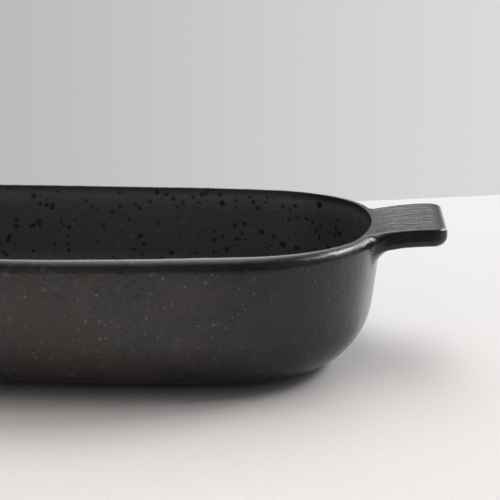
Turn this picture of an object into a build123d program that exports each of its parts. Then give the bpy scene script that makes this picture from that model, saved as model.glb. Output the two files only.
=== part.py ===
"""Oval stoneware lasagna dish with a flat tab handle at each end.

The body is fired stoneware. One coat of glaze lies inside it and another on its outside, two
solid tabs stand out from the ends of the wall, and the dish rests on a bare foot ring. X runs
along the dish, Z is up, and the origin is the middle of the foot's plane. Sizes are millimetres.
"""

import math
import os

from build123d import *

# Finished dish, measured over the glaze
rim_length = 352.0
rim_width = 235.0
dish_height = 73.0

# Plan of the rim: a long side, an end and four corners, each one arc, tangent to its neighbours
side_arc_radius = 765.0
end_arc_radius = 211.0
corner_arc_radius = 81.0

# Wall and floor
wall_thickness = 6.8
wall_lean = 9.0
floor_thickness = 8.0
base_radius = 32.0
inner_base_radius = 25.0
rim_round_share = 0.6
rim_lip_radius = 1.0
glaze_thickness = 0.4

# Foot ring
foot_height = 2.0
foot_width = 6.0
foot_setback = 2.0
foot_edge_radius = 0.8

# Tab handles
handle_reach = 33.0
handle_width = 82.0
handle_thickness = 9.5
handle_arch_radius = 155.0
handle_root_rise = 0.4
handle_tip_rise = 3.8
handle_corner_radius = 7.5
handle_top_edge_radius = 1.8
handle_bottom_edge_radius = 4.0
handle_flare_radius = 11.0
flare_share = 1.1
handle_root_radius = 9.0
root_bite = 0.6

# How far a cutting shape runs past what it cuts, and how near counts as touching
overrun = 5.0
touching = 0.01

# Heights and angles that follow from the sizes above
underside_z = foot_height
floor_z = underside_z + floor_thickness
half_length = rim_length / 2
half_width = rim_width / 2
lean_angle = math.atan2(wall_lean, dish_height - underside_z)
rim_round = rim_round_share * wall_thickness

# How much of each side a rounding of radius 1 takes, where the leaning wall meets a level face:
# the corner is open at the base and at the rim's inner edge, and tight at the rim's outer edge
open_corner = math.tan(math.pi / 4 - lean_angle / 2)
tight_corner = math.tan(math.pi / 4 + lean_angle / 2)
seam_inset = (rim_round * tight_corner + wall_thickness - rim_lip_radius * open_corner) / 2
foot_outer_inset = wall_lean + base_radius * open_corner + foot_setback
foot_inner_inset = foot_outer_inset + foot_width
core_inset = foot_inner_inset + foot_width


def wall_inset(z, depth=0.0):
    """How far the outer face of the wall lies inside the rim's outline at a height."""
    return (dish_height - z) * math.tan(lean_angle) + depth


def plan_arcs():
    """The eight tangent arcs of the rim, as centre x, centre y, radius, start and turn in degrees."""
    side_y = half_width - side_arc_radius
    end_x = half_length - end_arc_radius
    from_side = side_arc_radius - corner_arc_radius
    from_end = end_arc_radius - corner_arc_radius
    apart = math.hypot(end_x, side_y)
    along = (from_side**2 - from_end**2 + apart**2) / (2 * apart)
    across = math.sqrt(from_side**2 - along**2)
    toward_x, toward_y = end_x / apart, -side_y / apart
    corner_x = along * toward_x + across * toward_y
    corner_y = side_y + along * toward_y - across * toward_x
    side_start = math.degrees(math.atan2(corner_y - side_y, corner_x))
    end_turn = math.degrees(math.atan2(corner_y, corner_x - end_x))
    corner_turn = side_start - end_turn
    arcs = []
    for flip in (0.0, 180.0):
        sign = 1 if flip == 0 else -1
        arcs.append((sign * end_x, 0.0, end_arc_radius, flip - end_turn, 2 * end_turn))
        arcs.append((sign * corner_x, sign * corner_y, corner_arc_radius, flip + end_turn, corner_turn))
        side_turn = 180.0 - 2 * side_start
        arcs.append((0.0, sign * side_y, side_arc_radius, flip + side_start, side_turn))
        corner_from = flip + 180.0 - side_start
        arcs.append((-sign * corner_x, sign * corner_y, corner_arc_radius, corner_from, corner_turn))
    return arcs


def ring_of(section, arcs):
    """Carries a section, drawn at X = minus its inset, round arcs of the rim that follow on."""
    sectors = []
    for centre_x, centre_y, radius, start, turn in arcs:
        sector = revolve(Pos(radius, 0, 0) * section, Axis.Z, turn)
        sectors.append(Pos(centre_x, centre_y, 0) * Rot(0, 0, start) * sector)
    return sectors[0].fuse(*sectors[1:]).clean()


def plan_face(inset):
    """The area inside the rim's outline, drawn in by an inset."""
    edges = []
    for centre_x, centre_y, radius, start, turn in plan_arcs():
        edges += CenterArc((centre_x, centre_y), radius - inset, start, turn).edges()
    return make_face(edges)


def closed_section(corners):
    """A section in the XZ plane from (inset, height, corner radius) corners."""
    points = [(-inset, 0.0, z) for inset, z, _ in corners]
    radii = [radius for _, _, radius in corners]
    return make_face(FilletPolyline(*points, radius=radii, close=True).edges())


def outer_corners(depth):
    """The outside of the wall, from the underside to the rim's top, at a depth under the glaze."""
    shift = depth / math.cos(lean_angle)
    bottom_z = underside_z + depth
    top_z = dish_height - depth
    return [
        (wall_inset(bottom_z, shift), bottom_z, base_radius - depth),
        (wall_inset(top_z, shift), top_z, rim_round - depth),
    ]


def inner_corners(depth):
    """The inside of the wall, from the rim's top to the floor, at a depth under the glaze."""
    shift = wall_thickness - depth / math.cos(lean_angle)
    bottom_z = floor_z - depth
    top_z = dish_height - depth
    return [
        (wall_inset(top_z, shift), top_z, rim_lip_radius - depth),
        (wall_inset(bottom_z, shift), bottom_z, inner_base_radius + depth),
    ]


def with_floor(section, low, high):
    """A ring, with the middle of the dish filled between two heights."""
    core = Pos(0, 0, low) * extrude(plan_face(core_inset), high - low, dir=(0, 0, 1))
    return ring_of(section, plan_arcs()).fuse(core).clean()


def stoneware_body():
    """The bare body: wall, floor and their roundings, less the thickness of the glaze."""
    low = underside_z + glaze_thickness
    high = floor_z - glaze_thickness
    corners = [(core_inset, low, 0.0), *outer_corners(glaze_thickness)]
    corners += [*inner_corners(glaze_thickness), (core_inset, high, 0.0)]
    return with_floor(closed_section(corners), low, high)


def glaze_inside():
    """The coat over the floor, the inner wall and the rim's inner edge."""
    low = floor_z - glaze_thickness
    corners = [(seam_inset, dish_height, 0.0), *inner_corners(0.0), (core_inset, floor_z, 0.0)]
    corners += [(core_inset, low, 0.0), *reversed(inner_corners(glaze_thickness))]
    corners.append((seam_inset, dish_height - glaze_thickness, 0.0))
    return with_floor(closed_section(corners), low, floor_z)


def glaze_outside(handles):
    """The coat over the rim and the outer wall, down to the foot ring, open at the handles."""
    high = underside_z + glaze_thickness
    corners = [(foot_outer_inset, underside_z, 0.0), *outer_corners(0.0)]
    corners += [(seam_inset, dish_height, 0.0), (seam_inset, dish_height - glaze_thickness, 0.0)]
    corners += [*reversed(outer_corners(glaze_thickness)), (foot_outer_inset, high, 0.0)]
    return ring_of(closed_section(corners), plan_arcs()).cut(*handles)


def foot_ring():
    """The bare ring that the dish stands on, with its standing face ground flat."""
    top = underside_z + glaze_thickness
    corners = [
        (foot_outer_inset, 0.0, foot_edge_radius),
        (foot_outer_inset, top, 0.0),
        (foot_inner_inset, top, 0.0),
        (foot_inner_inset, 0.0, foot_edge_radius),
    ]
    return ring_of(closed_section(corners), plan_arcs())


def handle_arch():
    """Middle of the arch that a tab's top face follows in side view, as X and Z."""
    climb = handle_tip_rise - handle_root_rise
    chord = math.hypot(handle_reach, climb)
    sink = math.sqrt(handle_arch_radius**2 - (chord / 2) ** 2)
    middle_x = handle_reach / 2 + sink * climb / chord
    middle_z = dish_height + handle_root_rise + climb / 2 - sink * handle_reach / chord
    return middle_x, middle_z


def arch_point(x, depth=0.0):
    """A point of the side view on a tab's arch, or at a depth under it."""
    middle_x, middle_z = handle_arch()
    radius = handle_arch_radius - depth
    return (x, 0.0, middle_z + math.sqrt(radius**2 - (x - middle_x) ** 2))


def arch_edge(from_x, to_x, depth=0.0):
    """The stretch of the arch between two places, at a depth under it."""
    between = arch_point((from_x + to_x) / 2, depth)
    return ThreePointArc(arch_point(from_x, depth), between, arch_point(to_x, depth))


def handle_side_view():
    """Side view of a tab, X from the rim outwards, run past its tip and into the wall."""
    inside_x = -wall_thickness - handle_flare_radius
    past_tip = handle_reach + overrun
    under_z = arch_point(0.0, handle_thickness)[2]
    low_z = under_z - 2 * handle_root_radius
    root_x = -wall_inset(under_z) - root_bite
    low_x = -wall_inset(low_z) - root_bite
    top = arch_edge(inside_x, past_tip)
    under = arch_edge(past_tip, root_x, handle_thickness)
    tip = Line(top @ 1, under @ 0)
    wall_line = Polyline(under @ 1, (low_x, 0, low_z), (inside_x, 0, low_z), top @ 0)
    face = make_face([top, tip, under, *wall_line.edges()]).face()
    root = face.vertices().sort_by_distance(under @ 1)[0]
    return face.fillet_2d(handle_root_radius, [root])


def handle_root(y, inset):
    """Where the rim's outline, drawn in by an inset, is y from the dish's middle line near the
    right end: its x, and the angle that it faces."""
    for centre_x, centre_y, radius, start, turn in plan_arcs()[:2]:
        angle = math.asin((y - centre_y) / (radius - inset))
        if math.degrees(angle) <= start + turn:
            break
    return centre_x + (radius - inset) * math.cos(angle), angle


def handle_plan():
    """Plan of a tab: a rounded tip, straight sides and a flare where each side meets the wall."""
    side_y = handle_width / 2
    root_x, angle = handle_root(side_y, rim_round * tight_corner + root_bite)
    flare = flare_share * handle_flare_radius
    flare_x, flare_y = root_x - flare * math.sin(angle), side_y + flare * math.cos(angle)
    inside_x = flare_x - overrun
    tip_x = half_length + handle_reach
    half = [(inside_x, flare_y), (flare_x, flare_y), (root_x, side_y), (tip_x, side_y)]
    radii = [0.0, 0.0, handle_flare_radius, handle_corner_radius]
    points = half + [(x, -y) for x, y in reversed(half)]
    return make_face(FilletPolyline(*points, radius=radii + radii[::-1], close=True).edges())


def rim_edges(tab, way):
    """The edges where a tab's sides meet its top (way 1) or its underside and root (way -1)."""
    sides, facing = [], []
    for face in tab.faces():
        tilt = face.normal_at().Z
        if abs(tilt) < touching:
            sides += face.edges()
        elif way * tilt > 0 and face.bounding_box().size.Z > touching:
            facing += face.edges()
    shared = [edge for edge in facing if edge in sides]
    return [edge for edge in shared if edge.bounding_box().max.X > half_length]


def right_handle(wall):
    """One solid tab, rounded along its edges and cut to fit the end of the wall."""
    arcs = plan_arcs()
    swept = ring_of(handle_side_view(), [arcs[-1], *arcs[:2]])
    tab = swept & extrude(handle_plan(), dish_height + handle_tip_rise + overrun, dir=(0, 0, 1))
    tab = fillet(rim_edges(tab, 1), handle_top_edge_radius)
    tab = fillet(rim_edges(tab, -1), handle_bottom_edge_radius)
    return tab.cut(wall)


def filled_wall():
    """The body's outside, solid from the core to the wall, which shapes the root of a handle."""
    low = underside_z + glaze_thickness
    high = dish_height - glaze_thickness
    corners = [(core_inset, low, 0.0), *outer_corners(glaze_thickness), (core_inset, high, 0.0)]
    return ring_of(closed_section(corners), plan_arcs())


def main():
    parts = {}
    handle = right_handle(filled_wall())
    parts["handle_right"] = handle
    parts["handle_left"] = handle.mirror(Plane.YZ)
    parts["stoneware_body"] = stoneware_body()
    parts["glaze_inside"] = glaze_inside()
    parts["glaze_outside"] = glaze_outside([parts["handle_right"], parts["handle_left"]])
    parts["foot_ring"] = foot_ring()
    os.makedirs("parts", exist_ok=True)
    for name, shape in parts.items():
        export_step(shape, f"parts/{name}.step")


main()
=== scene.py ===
"""Oval stoneware lasagna dish with a tab at each end, in a near-black satin glaze with soft craters.

The glaze is built as numpy grids: inside over wall and floor, outside over rim, wall and base, and
one round each tab. The clay under it is a grid too, and the foot ring is the CAD's own. Lengths are
metres, X runs along the dish, Z is up, and the foot stands on Z = 0.
"""

import math

import bpy
import numpy as np
from mathutils import Matrix, Vector


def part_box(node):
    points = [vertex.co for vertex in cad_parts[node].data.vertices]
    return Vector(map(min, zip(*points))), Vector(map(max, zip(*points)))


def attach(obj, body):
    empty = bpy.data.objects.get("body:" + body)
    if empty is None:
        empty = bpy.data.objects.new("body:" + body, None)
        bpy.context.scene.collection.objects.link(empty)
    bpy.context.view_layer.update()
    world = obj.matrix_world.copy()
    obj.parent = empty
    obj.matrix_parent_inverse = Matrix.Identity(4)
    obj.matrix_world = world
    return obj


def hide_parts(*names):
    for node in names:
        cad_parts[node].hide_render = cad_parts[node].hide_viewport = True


bl_info = {
    "name": "Lasagna dish",
    "version": (1, 0, 0),
    "blender": (4, 5, 0),
    "location": "View3D > Sidebar > Dish",
    "description": "Builds a glazed stoneware lasagna dish with two tabs, and a stage for it",
    "category": "Add Mesh",
}

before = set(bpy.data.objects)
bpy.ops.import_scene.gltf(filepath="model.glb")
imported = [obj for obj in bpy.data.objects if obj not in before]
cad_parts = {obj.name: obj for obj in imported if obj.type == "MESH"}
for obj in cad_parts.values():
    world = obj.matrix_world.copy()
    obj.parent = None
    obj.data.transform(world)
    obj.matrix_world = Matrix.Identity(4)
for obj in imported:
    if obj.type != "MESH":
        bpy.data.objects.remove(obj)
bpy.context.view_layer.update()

MM = 0.001
GLAZE_INSIDE_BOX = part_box("glaze_inside")
GLAZE_OUTSIDE_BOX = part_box("glaze_outside")
TAB_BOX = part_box("handle_right")
HALF_TURN = np.array([-1.0, -1.0, 1.0])  # turns points half round about Z
TINY = 1e-9
COAT_IN_CAD = 0.0004

# Slow waves in the glaze as weight, size in metres and seed, and where its craters crowd.
WAVES = ((1.4, 0.034, 11), (1.0, 0.013, 12), (0.8, 0.0061, 13), (0.6, 0.0031, 15))
CROWDS = (0.028, 14)
# Craters as cell in metres, share of cells filled, smallest and largest radius, and seed.
CRATERS_INSIDE = (0.0048, 0.62, (0.0007, 0.0023), 21)
CRATERS_OUTSIDE = (0.0060, 0.55, (0.0009, 0.0020), 22)


# ---- sizes and looks that a user may change ----

def size(name, default, description):
    """A length in metres, shown in the scene's unit."""
    return bpy.props.FloatProperty(
        name=name, description=description, default=default, min=0.0, precision=5, unit="LENGTH")


def share(name, default, description):
    """A plain number from 0 to 1."""
    return bpy.props.FloatProperty(
        name=name, description=description, default=default, min=0.0, max=1.0, subtype="FACTOR")


def colour(name, default, description):
    """A linear colour."""
    return bpy.props.FloatVectorProperty(
        name=name, description=description, default=default, size=3, min=0.0, max=1.0, subtype="COLOR")


class DishSizes(bpy.types.PropertyGroup):
    """Sizes of the dish's body."""
    rim_length: size("Rim length", 0.352, "Length of the outline, without the tabs")
    rim_width: size("Rim width", 0.235, "Width of the outline")
    side_arc: size("Side arc", 0.765, "Radius of the outline's long sides")
    end_arc: size("End arc", 0.211, "Radius of the outline's ends")
    corner_arc: size("Corner arc", 0.081, "Radius of the outline's corners")
    rim_top: size("Rim top", GLAZE_INSIDE_BOX[1].z, "Height of the rim's flat top")
    underside: size("Underside", GLAZE_OUTSIDE_BOX[0].z, "Height of the glazed underside")
    floor_top: size("Floor top", GLAZE_INSIDE_BOX[0].z + COAT_IN_CAD, "Height of the glazed floor inside")
    wall: size("Wall", 0.0068, "Thickness of the glazed wall, measured level")
    lean_run: size("Lean", 0.009, "How far the wall leans out from underside to rim")
    base_round: size("Base rounding", 0.032, "Radius from the wall to the underside")
    bowl_round: size("Bowl rounding", 0.025, "Radius from the inner wall to the floor")
    rim_round: size("Rim rounding", 0.0052, "Radius of the rim's outer edge")
    lip_round: size("Lip rounding", 0.0008, "Radius of the rim's inner edge")
    foot_gap: size("Foot gap", 0.002, "From the base rounding to the foot ring")
    coat: size("Coat", 0.00045, "Thickness of the glaze on the clay")
    dip_front: size("Front dip", 0.0016, "Dip of the rim in the middle of the front")
    dip_back: size("Back dip", 0.0005, "Dip of the rim in the middle of the back")


class TabSizes(bpy.types.PropertyGroup):
    """Sizes of the two tabs."""
    tip_x: size("Tip", TAB_BOX[1].x, "From the middle of the dish to a tab's tip")
    width: size("Width", 0.082, "Width of a tab")
    thickness: size("Thickness", 0.0099, "Thickness of a tab")
    arch: size("Arch", 0.155, "Radius of the arch that a tab's top follows")
    root_rise: size("Root rise", 0.0004, "Height of the arch above the rim at the outline")
    tip_rise: size("Tip rise", 0.0038, "Height of the arch above the rim at the tip")
    corner_round: size("Corner rounding", 0.0075, "Radius of a tab's tip corners in plan")
    top_round: size("Top edge", 0.0018, "Radius of a tab's upper edge")
    tip_top_round: size("Tip's top edge", 0.0028, "Radius of the upper edge at the tip")
    under_round: size("Lower edge", 0.0035, "Radius of a tab's lower edge")
    tip_under_round: size("Tip's lower edge", 0.0052, "Radius of the lower edge at the tip")
    flare: size("Flare", 0.010, "Radius in plan where a tab's side meets the rim")
    root_round: size("Root rounding", 0.013, "Radius from a tab's underside to the wall")


class GlazeLook(bpy.types.PropertyGroup):
    """Colours and relief of the glaze."""
    body: colour("Glaze", (0.0040, 0.0040, 0.0042), "Main colour of the glaze")
    inner: colour("Glaze inside", (0.070, 0.069, 0.069), "Colour of the glaze inside the dish")
    pale: colour("Pale mottling", (0.065, 0.061, 0.057), "Colour of the paler patches")
    brown: colour("Brown mottling", (0.061, 0.045, 0.041), "Colour of the warmer patches")
    speck: colour("Specks", (0.20, 0.19, 0.175), "Colour of the fine pale specks")
    pit: colour("Craters", (0.0025, 0.0024, 0.0024), "Colour at the bottom of a crater")
    roughness: share("Roughness", 0.27, "Mean roughness of the satin surface")
    waves: size("Waves", 0.00007, "Height of the slow waves in the surface")
    crater_depth: share("Crater depth", 0.20, "Depth of a crater as a share of its radius")


class ClayLook(bpy.types.PropertyGroup):
    """Colours of the bare clay."""
    body: colour("Clay", (0.34, 0.29, 0.25), "Main colour of the bare clay")
    grit: colour("Grit", (0.13, 0.10, 0.08), "Colour of the darker grit")


class StageLook(bpy.types.PropertyGroup):
    """Table and backdrop."""
    table: colour("Table", (0.725, 0.698, 0.690), "Colour of the table")
    # Painted shade: the table behind the dish is darker.
    table_back_shaded: colour("Table behind", (0.655, 0.652, 0.652), "Colour of the table behind the dish")
    # The backdrop's two tones are painted light: darker at the left and brighter toward the lit right.
    backdrop_shaded_left: colour("Backdrop left", (0.455, 0.455, 0.455), "Backdrop at the left")
    backdrop_lit_right: colour("Backdrop right", (0.72, 0.72, 0.72), "Backdrop at the right")


# ---- plan of the dish ----

def outline_arcs(dish):
    """The rim's outline as eight arcs, each tangent to the next: the corner arcs' centres lie where
    circles of radius side arc minus corner arc and end arc minus corner arc cross."""
    side_y = dish.rim_width / 2 - dish.side_arc
    end_x = dish.rim_length / 2 - dish.end_arc
    from_side, from_end = dish.side_arc - dish.corner_arc, dish.end_arc - dish.corner_arc
    apart = math.hypot(end_x, side_y)
    along = (from_side**2 - from_end**2 + apart**2) / (2 * apart)
    across = math.sqrt(from_side**2 - along**2)
    toward_x, toward_y = end_x / apart, -side_y / apart
    corner_x = along * toward_x + across * toward_y
    corner_y = side_y + along * toward_y - across * toward_x
    end_turn = math.atan2(corner_y, corner_x - end_x)
    side_from = math.atan2(corner_y - side_y, corner_x)
    corner_turn, side_turn = side_from - end_turn, math.pi - 2 * side_from
    half = [
        (end_x, 0.0, dish.end_arc, -end_turn, 2 * end_turn),
        (corner_x, corner_y, dish.corner_arc, end_turn, corner_turn),
        (0.0, side_y, dish.side_arc, side_from, side_turn),
        (-corner_x, corner_y, dish.corner_arc, math.pi - side_from, corner_turn),
    ]
    other = [(-x, -y, radius, math.pi + start, turn) for x, y, radius, start, turn in half]
    return np.array(half + other)


def outline(arcs, along):
    """Point and outward normal of the rim's outline at a length along it, counted from the middle
    of the right end: centre plus radius times the direction of start angle plus length / radius."""
    lengths = arcs[:, 2] * arcs[:, 4]
    ends = np.cumsum(lengths)
    length = (np.asarray(along) + lengths[0] / 2) % ends[-1]
    which = np.minimum(np.searchsorted(ends, length, side="right"), len(arcs) - 1)
    angle = arcs[which, 3] + (length - (ends - lengths)[which]) / arcs[which, 2]
    normal = np.stack([np.cos(angle), np.sin(angle)], -1)
    return arcs[which, :2] + arcs[which, 2:3] * normal, normal


def raised(plan, height):
    """Places in plan and their heights as points."""
    return np.concatenate([plan, np.broadcast_to(height, plan.shape[:-1])[..., None]], -1)


def ring_grid(arcs, along, insets, heights):
    """A profile carried round the outline: outline point minus inset times normal, at the
    profile's height. Rows follow the profile and columns follow the outline."""
    point, normal = outline(arcs, along)
    return raised(point - insets[:, None, None] * normal, heights[:, None])


def smooth(x):
    """3x^2 - 2x^3 between 0 and 1."""
    x = np.clip(x, 0.0, 1.0)
    return x * x * (3 - 2 * x)


def lean_of(dish):
    """Angle between the wall and the vertical."""
    return math.atan2(dish.lean_run, dish.rim_top - dish.underside)


def roundings(dish):
    """Insets of the centres of the base, rim, lip and bowl roundings, which touch the leaning wall
    and a level face: the corner's inset and the radius times tan(45 degrees +- half the lean)."""
    lean = lean_of(dish)
    tight, wide = math.tan(math.pi / 4 + lean / 2), math.tan(math.pi / 4 - lean / 2)
    bowl_corner = (dish.rim_top - dish.floor_top) * math.tan(lean) + dish.wall
    return (dish.lean_run + dish.base_round * wide, dish.rim_round * tight,
            dish.wall - dish.lip_round * wide, bowl_corner + dish.bowl_round * wide)


def seam_inset(dish):
    """Where the inner and outer sheets of glaze meet, in the middle of the rim's flat top."""
    return sum(roundings(dish)[1:3]) / 2


# ---- relief of the surface ----

def lattice_noise(points, cell, seed):
    """Smooth noise from -1 to 1: random values on a repeating cubic lattice, mixed between the eight
    lattice points round a point with the weight 3x^2 - 2x^3 on each axis."""
    period = 32
    values = np.random.default_rng(seed).uniform(-1, 1, (period,) * 3)
    base = np.floor(points / cell)
    weight = smooth(points / cell - base)
    base = base.astype(int)
    total = np.zeros(points.shape[:-1])
    for corner in np.ndindex(2, 2, 2):
        index = (base + corner) % period
        side = np.where(np.array(corner) == 1, weight, 1 - weight).prod(-1)
        total += side * values[index[..., 0], index[..., 1], index[..., 2]]
    return total


def crater_field(points, cell, filled, radii, seed):
    """Craters as balls in space, at most one in a cubic cell, some with a smaller one beside it.
    Gives at every point the largest of radius times (1 - (d / radius)^2)^2, which is the crater's
    shape, and the largest of 1 - d / radius, which says how deep in it lies."""
    period, margin, rarity, none = 64, 0.1, 1.5, 1e-6
    twin_share, twin_size, twin_away, no_twin = 0.45, 0.62, 1.15, 1e-3
    cells = (period,) * 3
    rng = np.random.default_rng(seed)
    place = rng.uniform(margin, 1 - margin, cells + (3,))
    there = rng.uniform(0, 1, cells) < filled
    radius = radii[0] + (radii[1] - radii[0]) * rng.uniform(0, 1, cells) ** rarity
    radius = np.where(there, radius, none)
    beside = rng.normal(size=cells + (3,))
    beside /= np.linalg.norm(beside, axis=-1, keepdims=True)
    twin = np.where(rng.uniform(0, 1, cells) < twin_share, twin_size, no_twin)
    base = np.floor(points / cell).astype(int)
    shape, depth = np.zeros(points.shape[:-1]), np.zeros(points.shape[:-1])
    for step in np.ndindex(3, 3, 3):
        at = base + np.array(step) - 1
        i, j, k = np.moveaxis(at % period, -1, 0)
        centre, ball = (at + place[i, j, k]) * cell, radius[i, j, k]
        next_to = centre + beside[i, j, k] * ball[..., None] * twin_away
        for middle, size_of in ((centre, ball), (next_to, ball * twin[i, j, k])):
            share_of = np.linalg.norm(points - middle, axis=-1) / size_of
            inside = np.clip(1 - share_of**2, 0, None)
            shape = np.maximum(shape, size_of * inside**2)
            depth = np.maximum(depth, 1 - share_of)
    return shape, depth


def relief(points, look, inside):
    """How far the glaze stands off its plain shape at each point, and the mask of its craters: the
    sum of the slow waves, less the craters, which are many inside and few along the rim outside."""
    rim_band, band_fade, end_fade = 6 * MM, 3 * MM, 4 * MM
    mask_edge = 4.0
    waves = sum(weight * lattice_noise(points, cell, seed) for weight, cell, seed in WAVES)
    crowd = smooth(0.55 + 0.75 * lattice_noise(points, *CROWDS))
    if inside:
        shape, depth = crater_field(points, *CRATERS_INSIDE)
        amount = 0.6 + 0.4 * crowd
    else:
        shape, depth = crater_field(points, *CRATERS_OUTSIDE)
        near_rim = smooth((points[..., 2] - GLAZE_OUTSIDE_BOX[1].z + rim_band) / band_fade)
        off_tabs = smooth((GLAZE_OUTSIDE_BOX[1].x - np.abs(points[..., 0])) / end_fade)
        amount = 0.8 * near_rim * crowd * off_tabs
    height = look.waves * waves - look.crater_depth * shape * amount
    return height, smooth(depth * mask_edge) * amount


def dipped(points, dish):
    """Points as the dish dried, with its long sides dipping in the middle: a point sinks by the dip
    there times the square of its height over the rim's."""
    half_mix, half_dip = 0.06, 0.105
    x, y, z = np.moveaxis(points, -1, 0)
    front = smooth((half_mix - y) / (2 * half_mix))
    dip = dish.dip_back + (dish.dip_front - dish.dip_back) * front
    sunk = dip * (1 - smooth(np.abs(x) / half_dip)) * (z / dish.rim_top) ** 2
    return np.stack([x, y, z - sunk], -1)


# ---- meshes ----

def quads(rows, columns, closed, start):
    """Faces of a grid, row by row, as vertex numbers from start on."""
    number = start + np.arange(rows * columns).reshape(rows, columns)
    if closed:
        number = np.concatenate([number, number[:, :1]], 1)
    a, b = number[:-1, :-1], number[1:, :-1]
    c, d = number[1:, 1:], number[:-1, 1:]
    return np.stack([a, b, c, d], -1).reshape(-1, 4)


def stack(patches):
    """Vertices and faces of several grids, each a pair of points and whether its columns close."""
    faces, start = [], 0
    for points, closed in patches:
        faces.append(quads(*points.shape[:2], closed, start))
        start += points.shape[0] * points.shape[1]
    return np.concatenate([points.reshape(-1, 3) for points, _ in patches]), np.concatenate(faces)


def shared_normals(patches):
    """Normals that run on where grids meet: the area-weighted normals of the faces round a place are
    added and made unit length."""
    same_place, smallest = 1e-8, 1e-20
    points, faces = stack(patches)
    keys = np.round(points / same_place).astype(np.int64)
    joined = np.unique(keys.view([("", np.int64)] * 3).ravel(), return_inverse=True)[1].ravel()
    corners = points[faces]
    across = np.cross(corners[:, 2] - corners[:, 0], corners[:, 3] - corners[:, 1])
    sums = np.zeros((joined.max() + 1, 3))
    for column in range(4):
        for axis in range(3):
            sums[:, axis] += np.bincount(
                joined[faces[:, column]], weights=across[:, axis], minlength=len(sums))
    sums /= np.maximum(np.linalg.norm(sums, axis=1, keepdims=True), smallest)
    normals = sums[joined]
    split = np.cumsum([points.shape[0] * points.shape[1] for points, _ in patches])[:-1]
    return [part.reshape(points.shape) for part, (points, _) in zip(np.split(normals, split), patches)]


def glazed(patches, dish, look, inside):
    """Grids that meet, moved along their normals by the relief: for each the points and whether it
    closes, its normals, its crater mask and how far inside it lies."""
    inner_fade = 6 * MM
    moved, masks, inner = [], [], []
    for (points, closed), normal in zip(patches, shared_normals(patches)):
        height, mask = relief(points, look, inside)
        moved.append((dipped(points + normal * height[..., None], dish), closed))
        masks.append(mask)
        below_rim = (GLAZE_INSIDE_BOX[1].z - points[..., 2]) / inner_fade
        inner.append(smooth(below_rim) if inside else np.zeros(mask.shape))
    return list(zip(moved, shared_normals(moved), masks, inner))


def add_to_scene(name, data):
    """A new object in the scene."""
    added = bpy.data.objects.new(name, data)
    bpy.context.scene.collection.objects.link(added)
    return added


def add_piece(name, parts, material, nodes):
    """One mesh object from glazed grids, riding on the dish in place of the CAD nodes."""
    points, faces = stack([part[0] for part in parts])
    normals = np.concatenate([part[1].reshape(-1, 3) for part in parts])
    mesh = bpy.data.meshes.new(name)
    mesh.from_pydata(points, [], faces)
    mesh.shade_smooth()
    for label, place in (("crater", 2), ("inner", 3)):
        values = np.concatenate([part[place].ravel() for part in parts]).astype(np.float32)
        mesh.attributes.new(label, "FLOAT", "POINT").data.foreach_set("value", values)
    mesh.normals_split_custom_set_from_vertices(normals)
    mesh.materials.append(material)
    piece = add_to_scene(name, mesh)
    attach(piece, "root")
    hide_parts(*nodes)


# ---- inside of the dish ----

def arc_rows(centre_inset, centre_z, radius, start, end, count):
    """Insets and heights of an arc: centre plus radius times (cos, sin), from start to end degrees."""
    angle = np.radians(np.linspace(start, end, count + 1))
    return centre_inset + radius * np.cos(angle), centre_z + radius * np.sin(angle)


def inside_profile(dish, spacing):
    """The glaze from the seam on the rim over the lip, down the leaning wall and round to the
    floor, as insets and heights."""
    lean = math.degrees(lean_of(dish))
    lip, bowl = dish.lip_round, dish.bowl_round
    lip_inset, bowl_inset = roundings(dish)[2:]
    lip_count, flat_count = 6, 3
    lip_rows = arc_rows(lip_inset, dish.rim_top - lip, lip, 90, lean, lip_count)
    bowl_count = round(math.radians(90 - lean) * bowl / spacing)
    bowl_rows = arc_rows(bowl_inset, dish.floor_top + bowl, bowl, 180 + lean, 270, bowl_count)
    flat = np.linspace(seam_inset(dish), lip_inset, flat_count)[:-1]
    wall_count = round((lip_rows[1][-1] - bowl_rows[1][0]) / spacing)
    wall_rows = [np.linspace(lip_row[-1], bowl_row[0], wall_count + 1)[1:-1]
                 for lip_row, bowl_row in zip(lip_rows, bowl_rows)]
    flat_rows = flat, flat * 0 + dish.rim_top
    return tuple(np.concatenate(rows) for rows in zip(flat_rows, lip_rows, wall_rows, bowl_rows))


def inside_columns(arcs, spacing):
    """Lengths along the outline of a grid's columns, in even steps between the middles of the corner
    arcs, and how many steps the ends and the long sides have."""
    lengths = arcs[:, 2] * arcs[:, 4]
    end, side = lengths[0] + lengths[1], lengths[1] + lengths[2]
    end_count, side_count = round(end / spacing), round(side / spacing)
    stretches, start = [], -end / 2
    for count, length in ((end_count, end), (side_count, side)) * 2:
        stretches.append(start + length * np.arange(count) / count)
        start += length
    return np.concatenate(stretches), end_count, side_count


def floor_grid(edge, end_count, side_count):
    """The floor as a grid whose border is the wall's last row: a point of the square from -1 to 1
    goes to the larger of |a| and |b| times the border's point in its direction."""
    across, along = np.meshgrid(
        np.linspace(-1, 1, end_count + 1), np.linspace(-1, 1, side_count + 1), indexing="ij")
    reach = np.maximum(np.abs(across), np.abs(along))
    safe = np.maximum(reach, TINY)
    u, v = along / safe, across / safe
    turn_end, turn_side = (v + 1) / 2 * end_count, (1 - u) / 2 * side_count
    place = np.select(
        [u >= 1 - TINY, v >= 1 - TINY, u <= -1 + TINY],
        [turn_end, end_count + turn_side, 2 * end_count + side_count - turn_end],
        2 * (end_count + side_count) - turn_side)
    number = len(edge)
    low = np.floor(place + TINY).astype(int)
    part = (place - low)[..., None]
    border = edge[low % number] * (1 - part) + edge[(low + 1) % number] * part
    return raised(border[..., :2] * reach[..., None], edge[0, 2])


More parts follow.
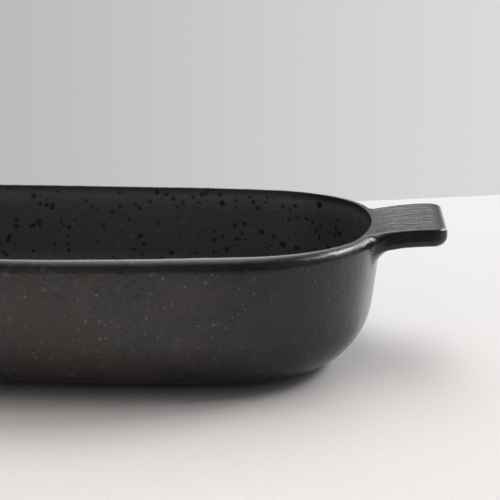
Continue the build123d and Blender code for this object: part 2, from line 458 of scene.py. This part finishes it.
class DISH_OT_inside(bpy.types.Operator):
    """Build the glaze over the inner wall and the floor"""
    bl_idname = "dish.inside"
    bl_label = "Inside glaze"

    def execute(self, context):
        dish, look = context.scene.dish_sizes, context.scene.glaze_look
        arcs = outline_arcs(dish)
        spacing = 0.95 * MM
        along, end_count, side_count = inside_columns(arcs, spacing)
        wall = ring_grid(arcs, along, *inside_profile(dish, spacing))
        floor = floor_grid(wall[-1], end_count, side_count)
        wall_part, floor_part = glazed([(wall[:, ::-1], True), (floor[::-1], False)], dish, look, True)
        material = glaze_material(look)
        add_piece("inside_glaze_wall", [wall_part], material, ["glaze_inside"])
        add_piece("inside_glaze_floor", [floor_part], material, ["glaze_inside"])
        return {"FINISHED"}


# ---- outside of the dish, with the tabs ----

def tab_outline(dish, tab, along):
    """Points and outward normals of half a tab's outline in plan, at shares of its length: a
    straight tip, a corner arc, a straight side and a flare arc that touches the end arc."""
    end_x = dish.rim_length / 2 - dish.end_arc
    half_width, corner = tab.width / 2, tab.corner_round
    flare_y = half_width + tab.flare
    flare_x = end_x + math.sqrt((dish.end_arc + tab.flare) ** 2 - flare_y**2)
    turn = math.pi / 2 - math.asin(flare_y / (dish.end_arc + tab.flare))
    lengths = np.array([
        half_width - corner, corner * math.pi / 2, tab.tip_x - corner - flare_x, tab.flare * turn])
    ends = np.cumsum(lengths)
    place = np.asarray(along) * ends[-1]
    tip, bend, side, flare = (place - (end - length) for end, length in zip(ends, lengths))
    bend_angle = bend / corner
    flare_angle = -math.pi / 2 - flare / tab.flare
    zero, one = np.zeros_like(place), np.ones_like(place)
    cos, sin = np.cos(bend_angle), np.sin(bend_angle)
    flare_cos, flare_sin = np.cos(flare_angle), np.sin(flare_angle)
    points = [
        (tab.tip_x * one, tip),
        (tab.tip_x - corner + corner * cos, half_width - corner + corner * sin),
        (tab.tip_x - corner - side, half_width * one),
        (flare_x + tab.flare * flare_cos, flare_y + tab.flare * flare_sin),
    ]
    normals = [(one, zero), (cos, sin), (zero, one), (-flare_cos, -flare_sin)]
    which = np.minimum(np.searchsorted(ends, place, side="right"), len(lengths) - 1)
    return [np.stack([np.choose(which, values) for values in zip(*pairs)], -1)
            for pairs in (points, normals)]


def tab_span(dish, tab):
    """Length along the rim's outline from the middle of an end to where a tab's flare ends."""
    return dish.end_arc * math.asin((tab.width / 2 + tab.flare) / (dish.end_arc + tab.flare))


def arch_centre(dish, tab):
    """Middle of the arch in side view, as distance outside the rim's outline and height."""
    reach = tab.tip_x - dish.rim_length / 2
    climb = tab.tip_rise - tab.root_rise
    chord = math.hypot(reach, climb)
    sink = math.sqrt(tab.arch**2 - (chord / 2) ** 2)
    x = reach / 2 + sink * climb / chord
    return x, dish.rim_top + tab.root_rise + climb / 2 - sink * reach / chord


def top_height(dish, tab, out):
    """Height of the top at a distance outside the outline: the arch above the rim's flat top,
    the two mixed softly as half of a + sqrt(a^2 + soft^2), where a is the arch's rise."""
    middle_x, middle_z = arch_centre(dish, tab)
    rise = middle_z + np.sqrt(tab.arch**2 - (out - middle_x) ** 2) - dish.rim_top
    soft, fade_from, fade_over = 0.35 * MM, 5.2 * MM, 5 * MM
    softened = (rise + np.sqrt(rise**2 + soft**2)) / 2
    return dish.rim_top + softened * smooth((out + fade_from) / fade_over)


def under_height(dish, tab, out):
    """Height of the tab's underside at a distance outside the outline."""
    middle_x, middle_z = arch_centre(dish, tab)
    return middle_z + np.sqrt((tab.arch - tab.thickness) ** 2 - (out - middle_x) ** 2)


def outside_sheet(dish, tab, root, facing, edge, edge_facing, low_z, rows):
    """The outer sheet from the seam on the rim down the wall to low_z, with or without a tab.

    Every column follows seven stretches: over the top to the edge, round the top edge, down the
    side, round the lower edge, back along the underside, round the root and down the wall. Where
    the edge lies on the outline only the plain rim has any length. Rows are shared out by each
    stretch's length over its wanted spacing."""
    spacing = np.array([1.0, 0.30, 0.75, 0.55, 1.2, 0.9, 1.0]) * MM
    tab_blend = 8 * MM
    lean = lean_of(dish)
    slope = math.tan(lean)
    end_x = dish.rim_length / 2 - dish.end_arc

    def outside(plan):
        """Distance outside the end arc."""
        return np.hypot(plan[..., 0] - end_x, plan[..., 1]) - dish.end_arc

    def inset_at(z):
        """Inset of the leaning wall at a height."""
        return (dish.rim_top - z) * slope

    def side_run(z):
        """How far the side stands out from the shoulder."""
        return top_round * np.cos(side_lean) - (side_top - z) * np.tan(side_lean)

    def under_run(angle):
        """How far the lower edge runs in by an angle of its rounding."""
        return under_round * (1 - np.cos(angle)) + under_round * np.sin(angle) * np.tan(side_lean)

    def top_at(plan):
        """Height of the top at places in plan."""
        return top_height(dish, tab, outside(plan)) if has_tab else plan[..., 0] * 0 + dish.rim_top

    def moved(plan, run, way):
        """Places in plan, moved along directions."""
        return plan + run[..., None] * way

    has_tab = np.abs(edge - root).max() > TINY
    reach = np.maximum(outside(edge), 0.0) if has_tab else np.zeros(len(root))
    full = smooth(reach / tab_blend)
    side_lean = lean * (1 - full)
    at_tip = smooth((np.abs(edge[:, 0]) - tab.tip_x + tab.corner_round) / tab.corner_round)
    top_round = dish.rim_round + (tab.top_round - dish.rim_round) * full
    top_round = top_round + (tab.tip_top_round - tab.top_round) * at_tip
    under_round = tab.under_round + (tab.tip_under_round - tab.under_round) * at_tip
    root_round = tab.root_round

    seam = root - seam_inset(dish) * facing
    shoulder = moved(edge, -top_round * np.tan(math.pi / 4 + side_lean / 2), edge_facing)
    top_z = top_at(shoulder)
    side_top = top_z - top_round * (1 + np.sin(side_lean))
    edge_low = under_height(dish, tab, reach)
    spare = reach - (top_z - edge_low) * np.tan(side_lean) + inset_at(edge_low)
    turn = np.arccos(np.clip(1 - spare / (under_round + root_round), 0.0, 1.0))
    side_low = edge_low + under_round * np.sin(turn)
    lower_start = moved(shoulder, side_run(side_low), edge_facing)
    lower_end = moved(lower_start, -under_run(turn), edge_facing)
    middle_x, middle_z = arch_centre(dish, tab)
    tilt = np.arcsin(np.clip((middle_x - root_round) / (tab.arch - tab.thickness), -1, 1)) * full
    root_turn = turn * (1 - tilt / (math.pi / 2))
    root_out = root_round * (1 - np.cos(root_turn)) - inset_at(edge_low)
    root_plan = moved(root, root_out, facing)
    root_z = under_height(dish, tab, root_out)
    wall_z = root_z - root_round * np.sin(root_turn)

    lengths = np.stack([
        np.linalg.norm(shoulder - seam, axis=-1),
        top_round * (math.pi / 2 + side_lean),
        np.maximum(side_top - side_low, 0) / np.cos(side_lean),
        under_round * turn,
        np.linalg.norm(root_plan - lower_end, axis=-1),
        root_round * root_turn,
        (wall_z - low_z) / math.cos(lean),
    ])
    wanted = lengths / spacing[:, None]
    ends = np.cumsum(wanted, 0)
    place = np.linspace(0, 1, rows)[:, None] * ends[-1]
    nothing = 1e-12
    which = np.minimum((place[None] > ends[:, None] + nothing).sum(0), len(spacing) - 1)
    over, top_turn, down, low_turn, back, root_part, wall_part = (
        np.clip((place - (end - want)) / np.maximum(want, nothing), 0, 1)
        for end, want in zip(ends, wanted))

    over_plan = seam + (shoulder - seam) * over[..., None]
    angle = top_turn * (math.pi / 2 + side_lean)
    down_z = side_top + (side_low - side_top) * down
    angle_low = low_turn * turn
    back_plan = lower_end + (root_plan - lower_end) * back[..., None]
    back_out = reach + (root_out - reach) * back
    angle_root = (1 - root_part) * root_turn
    root_z_at = root_z - root_round * (np.sin(root_turn) - np.sin(angle_root))
    root_run = root_round * (1 - np.cos(angle_root)) - inset_at(root_z_at)
    wall_at = wall_z + (low_z - wall_z) * wall_part
    stretches = [
        (over_plan, top_at(over_plan)),
        (moved(shoulder, top_round * np.sin(angle), edge_facing),
         top_z - top_round + top_round * np.cos(angle)),
        (moved(shoulder, side_run(down_z), edge_facing), down_z),
        (moved(lower_start, -under_run(angle_low), edge_facing),
         side_low - under_round * np.sin(angle_low)),
        (back_plan, under_height(dish, tab, back_out)),
        (moved(root, root_run, facing), root_z_at),
        (moved(root, -inset_at(wall_at), facing), wall_at),
    ]
    return np.choose(which[..., None], [raised(*stretch) for stretch in stretches])


def base_profile(dish, low_z, spacing):
    """The outer wall below the tabs, the base rounding and the underside to inside the foot ring."""
    lean = math.degrees(lean_of(dish))
    base_inset = roundings(dish)[0]
    count = round(math.radians(90 - lean) * dish.base_round / spacing)
    base = arc_rows(base_inset, dish.underside + dish.base_round, -dish.base_round, lean, 90, count)
    wall_count = round((low_z - base[1][0]) / spacing)
    wall_z = np.linspace(low_z, base[1][0], wall_count + 1)[:-1]
    lap, under_count = 0.3 * MM, 4
    foot = base_inset + dish.foot_gap + lap
    under = np.linspace(base[0][-1], foot, under_count)[1:]
    wall_inset = (dish.rim_top - wall_z) * math.tan(lean_of(dish))
    insets = np.concatenate([wall_inset, base[0], under])
    return insets, np.concatenate([wall_z, base[1], under * 0 + dish.underside])


class DISH_OT_outside(bpy.types.Operator):
    """Build the glaze over rim, outer wall and base, and round both tabs"""
    bl_idname = "dish.outside"
    bl_label = "Outside glaze and tabs"

    def execute(self, context):
        dish, tab = context.scene.dish_sizes, context.scene.tab_sizes
        look = context.scene.glaze_look
        arcs = outline_arcs(dish)
        half_way = (arcs[:, 2] * arcs[:, 4]).sum() / 2
        span = tab_span(dish, tab)
        below_rim, base_spacing = 24 * MM, 1.2 * MM
        low_z = dish.rim_top - below_rim
        tab_steps, plain_steps, tab_rows, plain_rows = 100, 384, 121, 41

        share_of = np.linspace(0, 1, tab_steps + 1)
        gather = 0.54  # how evenly a tab's columns are spread along the rim
        half_along = span * (gather * share_of + (1 - gather) * share_of**2)
        tab_along = np.concatenate([-half_along[:0:-1], half_along])
        edge, edge_facing = (np.concatenate([half[:0:-1] * [1.0, -1.0], half])
                             for half in tab_outline(dish, tab, share_of))
        root, facing = outline(arcs, tab_along)
        edge[[0, -1]], edge_facing[[0, -1]] = root[[0, -1]], facing[[0, -1]]
        right = outside_sheet(dish, tab, root, facing, edge, edge_facing, low_z, tab_rows)
        left = right * HALF_TURN

        plain_along = np.linspace(span, half_way - span, plain_steps + 1)
        root, facing = outline(arcs, plain_along)
        back = outside_sheet(dish, tab, root, facing, root, facing, low_z, plain_rows)
        front = back * HALF_TURN

        rows = base_profile(dish, low_z, base_spacing)
        half_base = ring_grid(arcs, np.concatenate([tab_along[:-1], plain_along[:-1]]), *rows)
        base = np.concatenate([half_base, half_base * HALF_TURN], 1)

        patches = [(right, False), (left, False), (back, False), (front, False), (base, True)]
        right, left, *rest = glazed(patches, dish, look, False)
        material = glaze_material(look)
        add_piece("tab_right", [right], material, ["handle_right"])
        add_piece("tab_left", [left], material, ["handle_left"])
        add_piece("outside_glaze", rest, material, ["glaze_outside"])
        return {"FINISHED"}


# ---- materials ----

def operator_pair(operation):
    """An operator on wires and numbers and its reflected form, each of which adds a Math node."""
    return (lambda wire, other: wire.maths(operation, wire, other),
            lambda wire, other: wire.maths(operation, other, wire))


class Wire:
    """One socket of a node tree. Sums, differences, products and quotients of wires and numbers add
    Math nodes, and node() adds any other node and gives one of its outputs. Patterns are made from
    the wire of a place in millimetres."""

    def __init__(self, tree, socket=None):
        self.tree, self.socket = tree, socket

    def node(self, kind, settings=None, output=None, **inputs):
        """Adds a node, sets its settings, then sets or links its inputs by name or identifier. Gives
        the output that is named, or else the first."""
        node = self.tree.nodes.new(kind)
        for key, value in (settings or {}).items():
            setattr(node, key, value)
        for key, value in inputs.items():
            name = key.replace("_", " ")
            socket = next(s for s in node.inputs
                          if s.enabled and name in (s.name, s.identifier.replace("_", " ")))
            if isinstance(value, Wire):
                self.tree.links.new(value.socket, socket)
            else:
                socket.default_value = value
        outputs = [s for s in node.outputs if s.enabled and output in (None, s.name)]
        return Wire(self.tree, outputs[0] if outputs else None)

    def maths(self, operation, a, b):
        """An operation on two wires or numbers."""
        return self.node("ShaderNodeMath", {"operation": operation}, Value=a, Value_001=b)

    __add__, __radd__ = operator_pair("ADD")
    __sub__, __rsub__ = operator_pair("SUBTRACT")
    __mul__, __rmul__ = operator_pair("MULTIPLY")
    __truediv__, __rtruediv__ = operator_pair("DIVIDE")

    def __abs__(self):
        return self.node("ShaderNodeMath", {"operation": "ABSOLUTE"}, Value=self)

    def vector(self, operation, output=None, **inputs):
        """An operation on this vector and what else it takes."""
        settings = {"operation": operation}
        return self.node("ShaderNodeVectorMath", settings, output, Vector=self, **inputs)

    def axis(self, letter):
        """One coordinate of this place."""
        return self.node("ShaderNodeSeparateXYZ", output=letter, Vector=self)

    def step(self, low, high, to_low=0.0, to_high=1.0):
        """A soft step of this value between low and high."""
        return self.node("ShaderNodeMapRange", {"interpolation_type": "SMOOTHSTEP"}, Value=self,
                         From_Min=low, From_Max=high, To_Min=to_low, To_Max=to_high)

    def mix(self, a, b):
        """Colour a where this value is 0 and colour b where it is 1."""
        return self.node("ShaderNodeMix", {"data_type": "RGBA"}, Factor=self, A=a, B=b)

    def noise(self, size_mm, detail=2.0, roughness=0.5, distortion=0.0, scale=None):
        """Noise from 0 to 1 in features of about size_mm, drawn out where scale is under 1."""
        place = self.vector("MULTIPLY", Vector_001=scale) if scale else self
        return self.node("ShaderNodeTexNoise", Vector=place, Scale=1.0 / size_mm, Detail=detail,
                         Roughness=roughness, Distortion=distortion)

    def spots(self, size_mm, low, high, shift=(0.0, 0.0, 0.0), soft=0.45):
        """Round spots, one in each cell of about size_mm, whose radius is a random share of it
        between low and high: 1 inside and 0 outside, with an edge soft over a share of the radius."""
        moved = self.vector("ADD", Vector_001=shift)
        settings = {"feature": "F1", "voronoi_dimensions": "3D"}
        distance = self.node("ShaderNodeTexVoronoi", settings, "Distance", Vector=moved, Scale=1.0 / size_mm)
        tint = Wire(self.tree, distance.socket.node.outputs["Color"])
        radius = low + (high - low) * self.node("ShaderNodeSeparateColor", output="Red", Color=tint)
        return (1.0 - distance / radius).step(0.0, soft)

    def surface(self, **inputs):
        """A Principled surface as the material's output."""
        shader = self.node("ShaderNodeBsdfPrincipled", **inputs)
        self.node("ShaderNodeOutputMaterial", Surface=shader)


def rgba(values, factor=1.0):
    """A colour for a socket, made lighter or darker by a factor."""
    return (*(value * factor for value in values), 1.0)


def new_material(name):
    """An empty material and its Object coordinates in millimetres."""
    material = bpy.data.materials.new(name)
    material.use_nodes = True
    material.node_tree.nodes.clear()
    place = Wire(material.node_tree).node("ShaderNodeTexCoord", output="Object")
    return material, place.vector("SCALE", Scale=1 / MM)


# Where the glaze's look changes: distances from the dish's middle and heights, in millimetres.
TAB_ROOT, TAB_TIP, TAB_SIDE, MIDDLE = (168.0, 182.0), (201.0, 207.0), (35.0, 40.0), (40.0, 150.0)
WALL_FOOT, BOWL_TOP, RIM_BAND, TAB_TOP = (4.0, 34.0), (56.0, 70.0), (65.0, 68.5), (70.0, 72.5)
GLAZE_NAME = "satin_black_glaze"


def glaze_material(look):
    """The satin glaze: near black, mottled pale and brown in the middle of the long sides, mid grey
    inside, with fine pale specks, dark craters, a skin like orange peel, and brushed tab tops, with
    painted shade that darkens it toward the foot and across the rim band. Made once and shared by
    all glazed pieces."""
    if GLAZE_NAME in bpy.data.materials:
        return bpy.data.materials[GLAZE_NAME]
    material, place = new_material(GLAZE_NAME)
    crater, inner = (place.node("ShaderNodeAttribute", {"attribute_name": name}, "Fac")
                     for name in ("crater", "inner"))
    clouds = place.noise(size_mm=26.0, detail=3.0, roughness=0.55)
    warmth = place.noise(size_mm=41.0, distortion=0.6)
    mottle = place.noise(size_mm=1.9, detail=4.0, roughness=0.65)
    skin = place.noise(size_mm=2.8, detail=3.0, roughness=0.6)
    grain = place.noise(size_mm=0.35, detail=1.0)
    runs = place.noise(size_mm=5.5, detail=3.0, roughness=0.6, scale=(1.0, 1.0, 0.22))
    brush = place.noise(size_mm=5.0, detail=3.0, roughness=0.6, scale=(0.6, 1.0, 1.0))
    small_pits = place.spots(size_mm=3.6, low=0.05, high=0.20) * inner
    specks = place.spots(size_mm=3.2, low=0.08, high=0.36, shift=(7.0, 3.0, 1.0), soft=0.8)
    blotches = place.spots(size_mm=9.0, low=0.05, high=0.30, shift=(2.0, 9.0, 5.0), soft=0.8)

    along, across = abs(place.axis("X")), abs(place.axis("Y"))
    up = place.axis("Z")
    on_tab, in_middle = along.step(*TAB_ROOT), along.step(*MIDDLE, 1.0, 0.0)
    flat_top = up.step(*TAB_TOP) * along.step(*TAB_TIP, 1.0, 0.0)
    on_top = across.step(*TAB_SIDE, 1.0, 0.0) * on_tab * flat_top
    on_rim = up.step(*RIM_BAND) * (1.0 - on_tab)
    # Painted shade: this factor fades the pale mottling, runs, warmth and specks toward the foot and across
    # the rim band, so the glaze is painted darker there.
    painted_shade_foot_rim = up.step(*WALL_FOOT, 0.55, 1.0) * (1.0 - on_rim * 0.7)

    # Each tint covers the last one by the share before its mix.
    haze = 0.33 + clouds.step(0.36, 0.66) * 0.25 + mottle.step(0.26, 0.70) * 0.3
    haze = (haze + skin.step(0.3, 0.7) * 0.35) * painted_shade_foot_rim * (0.08 + in_middle * 0.92)
    tint = haze.mix(rgba(look.body), rgba(look.pale))
    tint = (runs.step(0.46, 0.72) * in_middle * painted_shade_foot_rim * 0.35).mix(tint, rgba(look.pale))
    tint = (warmth.step(0.46, 0.66) * in_middle * painted_shade_foot_rim * 0.7).mix(tint, rgba(look.brown))
    bowl = up.step(*BOWL_TOP).mix(rgba(look.inner), rgba(look.inner, 1.6))
    tint = inner.mix(tint, bowl)
    tint = (blotches * 0.22 * in_middle).mix(tint, rgba(look.speck))
    specks = specks * clouds.step(0.34, 0.54) * (0.2 + in_middle * 0.7) * painted_shade_foot_rim
    tint = (specks * (1.0 - inner * 0.85)).mix(tint, rgba(look.speck))
    hollow = crater.maths("MAXIMUM", crater, small_pits * 0.8)
    tint = hollow.step(0.0, 0.9).mix(tint, rgba(look.pit))

    # The surface is glossier at a grazing angle, but not on the tabs' tops. Heights are millimetres.
    grazing = place.node("ShaderNodeLayerWeight", output="Facing", Blend=0.5).step(0.5, 0.95)
    rough = look.roughness - 0.06 + clouds * 0.08 + mottle * 0.08
    rough = (rough + hollow * 0.06) * (1.0 - grazing * (1.0 - flat_top) * 0.45)
    height = skin * (0.22 - 0.16 * on_rim) + mottle * 0.05 + grain * 0.006 - small_pits * 0.15
    height = height + runs * 0.06 + (brush - 0.5) * on_top * 1.15
    normal = place.node("ShaderNodeBump", Strength=1.0, Distance=MM, Height=height)
    place.surface(Base_Color=tint, Roughness=rough, Normal=normal, IOR=1.46)
    return material


def clay_material(look):
    """Bare stoneware: a matt, slightly gritty buff with darker grains."""
    material, place = new_material("bare_stoneware")
    clouds = place.noise(size_mm=18.0, detail=3.0)
    grain = place.noise(size_mm=0.6, detail=3.0, roughness=0.65)
    grit = place.spots(size_mm=2.6, low=0.0, high=0.16)
    tint = clouds.step(0.35, 0.7).mix(rgba(look.body), rgba(look.body, 0.78))
    tint = (grit * 0.8).mix(tint, rgba(look.grit))
    height = grain * 0.08 + grit * 0.05
    normal = place.node("ShaderNodeBump", Strength=0.8, Distance=MM, Height=height)
    place.surface(Base_Color=tint, Roughness=0.82 + grain * 0.1, Normal=normal)
    return material


def clay_profile(dish):
    """The clay, everywhere one coat inside the glaze, from beside the foot ring round the base, up
    the wall, over the rim and down to the floor."""
    base_count, rim_count, lip_count, bowl_count = 16, 12, 4, 14
    coat, base, rim = dish.coat, dish.base_round, dish.rim_round
    lip, bowl = dish.lip_round, dish.bowl_round
    tilt = math.degrees(lean_of(dish))
    base_inset, rim_inset, lip_inset, bowl_inset = roundings(dish)
    arcs = [
        arc_rows(base_inset, dish.underside + base, coat - base, 90, tilt, base_count),
        arc_rows(rim_inset, dish.rim_top - rim, rim - coat, 180 + tilt, 90, rim_count),
        arc_rows(lip_inset, dish.rim_top - lip, lip - coat, 90, tilt, lip_count),
        arc_rows(bowl_inset, dish.floor_top + bowl, bowl + coat, 180 + tilt, 270, bowl_count),
    ]
    foot = np.array([base_inset + dish.foot_gap]), np.array([dish.underside + coat])
    return tuple(np.concatenate(rows) for rows in zip(foot, *arcs))


class DISH_OT_clay(bpy.types.Operator):
    """Build the clay body under the glaze, and give it and the CAD's foot ring their bare clay"""
    bl_idname = "dish.clay"
    bl_label = "Bare clay"

    def execute(self, context):
        dish = context.scene.dish_sizes
        material = clay_material(context.scene.clay_look)
        spacing = 4 * MM
        along, end_count, side_count = inside_columns(outline_arcs(dish), spacing)
        wall = ring_grid(outline_arcs(dish), along, *clay_profile(dish))[:, ::-1]
        under = floor_grid(wall[0, ::-1], end_count, side_count)
        floor = floor_grid(wall[-1, ::-1], end_count, side_count)[::-1]
        patches = [(dipped(points, dish), closed) for points, closed in
                   ((wall, True), (under, False), (floor, False))]
        plain = [np.zeros(points.shape[:2]) for points, _ in patches]
        parts = list(zip(patches, shared_normals(patches), plain, plain))
        add_piece("clay_body", parts, material, ["stoneware_body"])
        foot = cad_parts["foot_ring"]
        foot.data.materials.clear()
        foot.data.materials.append(material)
        return {"FINISHED"}


# ---- stage ----

LAMP_AWAY = 3.5  # metres from the dish
# Soft boxes as turn round from +X and height in degrees, width and height in metres, and watts.
LAMPS = {"key_light": (34, 36, 1.6, 0.85, 68.0), "side_light": (5, 41, 0.6, 0.7, 14.0)}
# Soft lights of the room as strength, turn and height in degrees, and the power that narrows them.
ROOM_LIGHTS = (
    (2.2, 100, 36, 40), (0.6, 20, 90, 10), (0.7, 135, 40, 10), (5.0, 60, 17, 60), (0.9, 70, 3, 40),
    (1.5, 18, 22, 40), (0.5, -28, 12, 10), (0.32, -90, 3, 30), (0.5, -130, 18, 10),
)


def flat_sheet(name, corners, material):
    """A flat four-cornered sheet of the stage."""
    mesh = bpy.data.meshes.new(name)
    mesh.from_pydata([tuple(corner) for corner in corners], [], [(0, 1, 2, 3)])
    mesh.materials.append(material)
    sheet = add_to_scene(name, mesh)
    return sheet


def table_material(look):
    """A matt pale table with a faint upright grain, and painted shade that makes it a little darker and
    greyer behind the dish.
    """
    material, place = new_material("table")
    weave = place.noise(size_mm=0.9, detail=3.0, scale=(1.0, 0.1, 1.0))
    clouds = place.noise(size_mm=160.0)
    shade = weave.step(0.35, 0.65) * 0.6 + clouds.step(0.3, 0.7) * 0.3
    tint = shade.mix(rgba(look.table), rgba(look.table, 0.95))
    # Painted shade: behind the dish the table is mixed toward a darker, greyer tone.
    tint = place.axis("Y").step(-150.0, 150.0).mix(tint, rgba(look.table_back_shaded))
    place.surface(Base_Color=tint, Roughness=0.85, Specular_IOR_Level=0.2)
    return material


def backdrop_material(look):
    """A plain glowing backdrop with painted light: it runs from the darker left tone to the brighter right
    tone, and isn't seen from behind.
    """
    material, place = new_material("backdrop")
    # Painted light: the glow runs from the darker left tone to the brighter right tone, as if lit from the
    # right.
    tint = place.axis("X").step(-350.0, 420.0).mix(
        rgba(look.backdrop_shaded_left), rgba(look.backdrop_lit_right))
    glow = place.node("ShaderNodeEmission", Color=tint, Strength=1.0)
    behind = place.node("ShaderNodeNewGeometry", output="Backfacing")
    clear = place.node("ShaderNodeBsdfTransparent")
    mixed = place.node("ShaderNodeMixShader", Fac=behind, Shader=glow, Shader_001=clear)
    place.node("ShaderNodeOutputMaterial", Surface=mixed)
    return material


def shade_reflection_material():
    """A glowing sheet that only reflections see: a painted reflection of shade on the table in front. It
    fades in from the table's own tone.
    """
    material, place = new_material("dark_cloth")
    tone = place.axis("Y").step(-275.0, -235.0, 0.05, 0.76)
    glow = place.node("ShaderNodeEmission", Color=rgba((1.0, 1.0, 1.0)), Strength=tone)
    place.node("ShaderNodeOutputMaterial", Surface=glow)
    return material


def direction(turn, height):
    """Unit vector at an angle round from +X towards +Y and an angle above the table, in degrees."""
    turn, height = math.radians(turn), math.radians(height)
    level = math.cos(height)
    return Vector((math.cos(turn) * level, math.sin(turn) * level, math.sin(height)))


def soft_box(name, target, turn, height, width, depth, power):
    """A rectangular white soft light that faces a target."""
    light = bpy.data.lights.new(name, "AREA")
    light.shape, light.size, light.size_y, light.energy = "RECTANGLE", width, depth, power
    lamp = add_to_scene(name, light)
    lamp.location = target + direction(turn, height) * LAMP_AWAY
    lamp.rotation_euler = (target - lamp.location).to_track_quat("-Z", "Y").to_euler()


def studio_world(world):
    """A dark room with soft lights as lobes round a direction, and a strip overhead, narrow round
    the plane across the dish. The camera sees it as a plain pale tone."""
    dark, strip_light, narrowness, seen_tone = 0.05, 3.4, 12.0, 0.75
    world.use_nodes = True
    world.node_tree.nodes.clear()
    way = Wire(world.node_tree).node("ShaderNodeTexCoord", output="Generated")

    def near(turn, height):
        """Cosine of the angle from a direction."""
        return way.vector("DOT_PRODUCT", "Value", Vector_001=direction(turn, height))

    def lobe(turn, height, power):
        """Light round a direction: the cosine of the angle from it, to a power."""
        return way.maths("POWER", way.maths("MAXIMUM", near(turn, height), 0.0), power)

    strip = way.maths("POWER", 1.0 - near(5, 0) * near(5, 0), narrowness)
    strip = strip * near(0, 90).step(0.14, 0.5)
    room = dark + strip_light * strip * lobe(95, 62, 4)
    for strength, *place in ROOM_LIGHTS:
        room = room + strength * lobe(*place)
    seen = way.node("ShaderNodeLightPath", output="Is Camera Ray")
    strength = room + seen * (seen_tone - room)
    glow = way.node("ShaderNodeBackground", Color=rgba((1.0, 0.98, 0.967)), Strength=strength)
    way.node("ShaderNodeOutputWorld", Surface=glow)


def photo_camera():
    """The photograph's camera: turned slightly left of +Y, looking down a little over 11 degrees,
    with a long lens."""
    yaw, down, roll = -0.09608, 0.20294, 0.00083
    distance, target = 0.7187, Vector((0.10244, 0.0, 0.05537))
    ahead = Vector((math.sin(yaw) * math.cos(down), math.cos(yaw) * math.cos(down), -math.sin(down)))
    level = Vector((math.cos(yaw), -math.sin(yaw), 0.0))
    upward = level.cross(ahead)
    right = level * math.cos(roll) + upward * math.sin(roll)
    up = upward * math.cos(roll) - level * math.sin(roll)
    data = bpy.data.cameras.new("photo_camera")
    data.lens, data.sensor_width, data.clip_start, data.clip_end = 92.953, 36.0, 0.01, 50.0
    camera = add_to_scene("photo_camera", data)
    turn = Matrix((right, up, -ahead)).transposed().to_4x4()
    camera.matrix_world = Matrix.Translation(target - ahead * distance) @ turn
    bpy.context.scene.camera = camera


class DISH_OT_stage(bpy.types.Operator):
    """Set the table, the backdrop with its painted light, the glowing sheet of painted shade that only
    reflections see, the lights and the camera
    """
    bl_idname = "dish.stage"
    bl_label = "Stage"

    def execute(self, context):
        look = context.scene.stage_look
        far, shade_sheet_edge, backdrop_reach = 6.0, -0.235, 4
        corners = ((-far, -far), (far, -far), (far, far), (-far, far))
        flat_sheet("table", [(*corner, 0) for corner in corners], table_material(look))
        seam, along = Vector((0.162, 0.507, 0.0)), Vector((0.936, 0.353, 0.0))
        left, right = seam - along * backdrop_reach, seam + along * backdrop_reach
        up = Vector((0, 0, backdrop_reach))
        backdrop = flat_sheet("backdrop", [left, right, right + up, left + up], backdrop_material(look))
        backdrop.visible_shadow = backdrop.visible_diffuse = backdrop.visible_glossy = False
        # A glowing sheet on the table in front of the dish that only reflections see: painted shade in the
        # glaze's reflection of the table.
        corners = [(x, min(y, shade_sheet_edge), MM) for x, y in corners]
        dark = flat_sheet("dark_cloth", corners, shade_reflection_material())
        dark.visible_camera = dark.visible_diffuse = dark.visible_shadow = False
        middle = Vector((0.10, 0.0, 0.05))
        for name, lamp in LAMPS.items():
            soft_box(name, middle, *lamp)
        world = bpy.data.worlds.new("studio")
        studio_world(world)
        context.scene.world = world
        context.scene.view_settings.view_transform = "Standard"
        photo_camera()
        return {"FINISHED"}


# ---- add-on ----

class DISH_PT_panel(bpy.types.Panel):
    """Sizes, looks and build steps of the dish"""
    bl_label = "Lasagna dish"
    bl_idname = "DISH_PT_panel"
    bl_space_type = "VIEW_3D"
    bl_region_type = "UI"
    bl_category = "Dish"

    def draw(self, context):
        for group in GROUPS:
            box = self.layout.box()
            box.label(text=group.__doc__.rstrip("."))
            for name in group.__annotations__:
                box.prop(getattr(context.scene, GROUPS[group]), name)
        for operator in STEPS:
            self.layout.operator(operator.bl_idname)


GROUPS = {
    DishSizes: "dish_sizes",
    TabSizes: "tab_sizes",
    GlazeLook: "glaze_look",
    ClayLook: "clay_look",
    StageLook: "stage_look",
}
STEPS = [DISH_OT_inside, DISH_OT_outside, DISH_OT_clay, DISH_OT_stage]


def register():
    """Registers the classes and gives the scene their sizes and looks."""
    for cls in [*GROUPS, *STEPS, DISH_PT_panel]:
        bpy.utils.register_class(cls)
    for group, name in GROUPS.items():
        setattr(bpy.types.Scene, name, bpy.props.PointerProperty(type=group))


def unregister():
    """Undoes what register does."""
    for name in GROUPS.values():
        delattr(bpy.types.Scene, name)
    for cls in reversed([*GROUPS, *STEPS, DISH_PT_panel]):
        bpy.utils.unregister_class(cls)


def main():
    """Builds the dish and its stage."""
    register()
    bpy.ops.dish.inside()
    bpy.ops.dish.outside()
    bpy.ops.dish.clay()
    bpy.ops.dish.stage()


if __name__ == "__main__":
    main()
